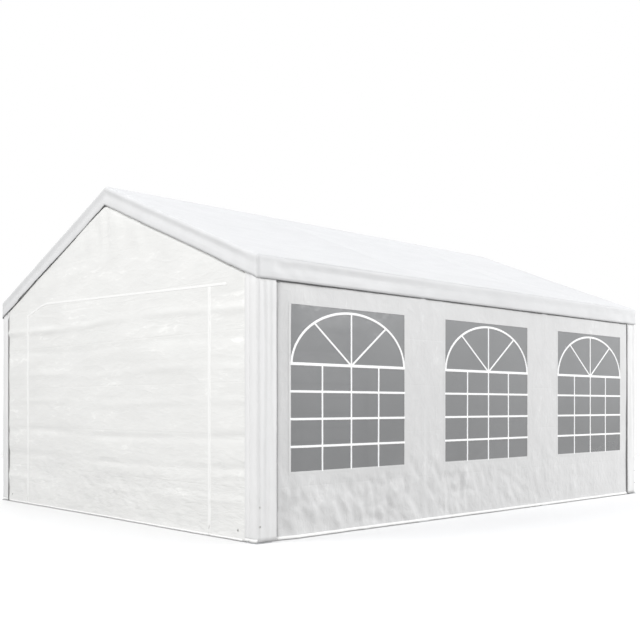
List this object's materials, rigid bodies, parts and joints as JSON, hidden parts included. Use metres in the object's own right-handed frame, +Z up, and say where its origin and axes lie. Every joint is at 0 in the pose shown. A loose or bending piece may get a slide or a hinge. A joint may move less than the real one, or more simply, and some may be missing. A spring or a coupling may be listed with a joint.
{
  "type": "marquee tent",
  "caption": "White party tent with a pitched sheet roof, gable doors and arched clear windows on a steel tube frame.",
  "frame": {"origin": "middle of the tent's plan, on the ground", "axes": "+Z up; +Y along the ridge towards the back gable; +X across the tent towards the right-hand window wall"},
  "size_m": [4.6, 6, 3.1736],
  "materials": {
    "roof_cloth": "coated woven polyethylene sheet, satin",
    "wall_cloth": "coated woven polyethylene sheet, satin, creased",
    "window_film": "clear soft vinyl film",
    "frame_steel": "galvanised and powder coated steel tube"
  },
  "bodies": {
    "root": {"roof_cover": "roof_cloth", "side_wall_left": "wall_cloth", "window_film_left_1": "window_film", "window_film_left_2": "window_film", "window_film_left_3": "window_film", "side_wall_right": "wall_cloth", "window_film_right_1": "window_film", "window_film_right_2": "window_film", "window_film_right_3": "window_film", "gable_wall_front": "wall_cloth", "roll_up_door_front": "wall_cloth", "corner_sleeve_front_left": "wall_cloth", "corner_sleeve_front_right": "wall_cloth", "gable_wall_back": "wall_cloth", "roll_up_door_back": "wall_cloth", "corner_sleeve_back_left": "wall_cloth", "corner_sleeve_back_right": "wall_cloth", "post_left_1": "frame_steel", "eave_fitting_left_1": "frame_steel", "rafter_left_1": "frame_steel", "post_left_2": "frame_steel", "eave_fitting_left_2": "frame_steel", "rafter_left_2": "frame_steel", "post_left_3": "frame_steel", "eave_fitting_left_3": "frame_steel", "rafter_left_3": "frame_steel", "post_left_4": "frame_steel", "eave_fitting_left_4": "frame_steel", "rafter_left_4": "frame_steel", "eave_tube_left_1": "frame_steel", "eave_tube_left_2": "frame_steel", "eave_tube_left_3": "frame_steel", "post_right_1": "frame_steel", "eave_fitting_right_1": "frame_steel", "rafter_right_1": "frame_steel", "post_right_2": "frame_steel", "eave_fitting_right_2": "frame_steel", "rafter_right_2": "frame_steel", "post_right_3": "frame_steel", "eave_fitting_right_3": "frame_steel", "rafter_right_3": "frame_steel", "post_right_4": "frame_steel", "eave_fitting_right_4": "frame_steel", "rafter_right_4": "frame_steel", "eave_tube_right_1": "frame_steel", "eave_tube_right_2": "frame_steel", "eave_tube_right_3": "frame_steel", "ridge_pole": "frame_steel"}
  },
  "joints": []
}
